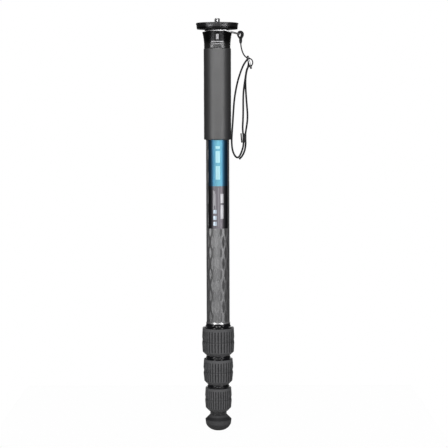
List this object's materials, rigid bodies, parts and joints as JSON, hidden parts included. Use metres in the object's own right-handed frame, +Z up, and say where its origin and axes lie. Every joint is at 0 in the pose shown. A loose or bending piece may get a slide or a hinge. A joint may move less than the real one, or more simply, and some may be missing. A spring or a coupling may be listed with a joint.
{
  "type": "camera monopod",
  "caption": "Telescopic carbon-tube camera monopod with twist locks, a foam grip, a threaded camera platform, a wrist strap on a wire ring and a rubber foot.",
  "frame": {"origin": "centre of the camera platform's top face, at the foot of the camera stud", "axes": "+Z up along the pole, out of the camera stud; -Y is the front with the labels; +X is the strap's side"},
  "size_m": [0.0886, 0.0658, 0.6424],
  "materials": {
    "black_metal": "satin black anodised",
    "gloss_black_metal": "gloss black anodised",
    "steel": "bare turned steel",
    "steel_dark": "blackened steel",
    "steel_wire": "polished wire",
    "polished_ring": "polished",
    "foam": "matt fine-celled foam",
    "label_blue": "gloss printed film",
    "label_grey": "gloss printed film",
    "carbon": "clear-coated carbon weave",
    "lock_rubber": "matt ribbed",
    "lock_plastic": "moulded",
    "felt": "felt",
    "brass_insert": "turned",
    "foot_rubber": "matt",
    "webbing": "woven narrow webbing",
    "strap_plastic": "moulded",
    "link_metal": "brushed"
  },
  "bodies": {
    "upper_leg": {"camera_platform": "black_metal", "camera_stud": "steel", "platform_screws": "steel_dark", "top_collar": "black_metal", "foam_grip": "foam", "tube_1": "carbon", "label_upper": "label_blue", "label_lower": "label_grey", "lock_1_trim": "polished_ring", "lock_1_sleeve": "gloss_black_metal"},
    "wrist_strap": {"strap_ring": "steel_wire", "strap_ring_loop": "webbing", "strap_cord": "webbing", "wrist_loop": "webbing", "wrist_tail": "webbing", "wrist_middle": "webbing", "wrist_right": "webbing", "link_side_loop": "webbing", "strap_tab": "strap_plastic", "link_bar": "link_metal", "link_balls": "strap_plastic", "link_wraps": "webbing", "slider_body": "strap_plastic", "slider_lever": "strap_plastic"},
    "lock_1_ferrule": {"lock_1_collet": "lock_plastic"},
    "lock_1_twist_grip": {"lock_1_nut": "black_metal", "lock_1_grip": "lock_rubber", "lock_1_wiper": "felt"},
    "second_leg": {"tube_2": "carbon", "shims_2": "lock_plastic", "lock_2_sleeve": "gloss_black_metal"},
    "lock_2_ferrule": {"lock_2_collet": "lock_plastic"},
    "lock_2_twist_grip": {"lock_2_nut": "black_metal", "lock_2_grip": "lock_rubber", "lock_2_wiper": "felt"},
    "third_leg": {"tube_3": "carbon", "shims_3": "lock_plastic", "lock_3_sleeve": "gloss_black_metal"},
    "lock_3_ferrule": {"lock_3_collet": "lock_plastic"},
    "lock_3_twist_grip": {"lock_3_nut": "black_metal", "lock_3_grip": "lock_rubber", "lock_3_wiper": "felt"},
    "fourth_leg": {"tube_4": "carbon", "shims_4": "lock_plastic", "foot_plug": "black_metal", "foot_stud": "steel", "foot_insert": "brass_insert", "rubber_foot": "foot_rubber"}
  },
  "joints": [
    {"name": "strap_swivel", "type": "hinge", "parent": "upper_leg", "child": "wrist_strap", "pos_m": [0, 0, -0.01145], "axis": [0, 0, 1], "continuous": true},
    {"name": "lock_1_back_off", "type": "slide", "parent": "upper_leg", "child": "lock_1_ferrule", "axis": [0, 0, -1], "range_m": [0, 0.0005]},
    {"name": "lock_1_twist", "type": "hinge", "parent": "lock_1_ferrule", "child": "lock_1_twist_grip", "pos_m": [0, 0, -0.5], "axis": [0, 0, -1], "range_deg": [0, 120]},
    {"name": "leg_2_slide", "type": "slide", "parent": "upper_leg", "child": "second_leg", "axis": [0, 0, -1], "range_m": [0, 0.372]},
    {"name": "lock_2_back_off", "type": "slide", "parent": "second_leg", "child": "lock_2_ferrule", "axis": [0, 0, -1], "range_m": [0, 0.0005]},
    {"name": "lock_2_twist", "type": "hinge", "parent": "lock_2_ferrule", "child": "lock_2_twist_grip", "pos_m": [0, 0, -0.5], "axis": [0, 0, -1], "range_deg": [0, 120]},
    {"name": "leg_3_slide", "type": "slide", "parent": "second_leg", "child": "third_leg", "axis": [0, 0, -1], "range_m": [0, 0.403]},
    {"name": "lock_3_back_off", "type": "slide", "parent": "third_leg", "child": "lock_3_ferrule", "axis": [0, 0, -1], "range_m": [0, 0.0005]},
    {"name": "lock_3_twist", "type": "hinge", "parent": "lock_3_ferrule", "child": "lock_3_twist_grip", "pos_m": [0, 0, -0.5], "axis": [0, 0, -1], "range_deg": [0, 120]},
    {"name": "leg_4_slide", "type": "slide", "parent": "third_leg", "child": "fourth_leg", "axis": [0, 0, -1], "range_m": [0, 0.43]}
  ],
  "couplings": [
    {"joint": "lock_1_back_off", "follows": "lock_1_twist", "m_per_rad": 0.00023873},
    {"joint": "lock_2_back_off", "follows": "lock_2_twist", "m_per_rad": 0.00023873},
    {"joint": "lock_3_back_off", "follows": "lock_3_twist", "m_per_rad": 0.00023873}
  ]
}
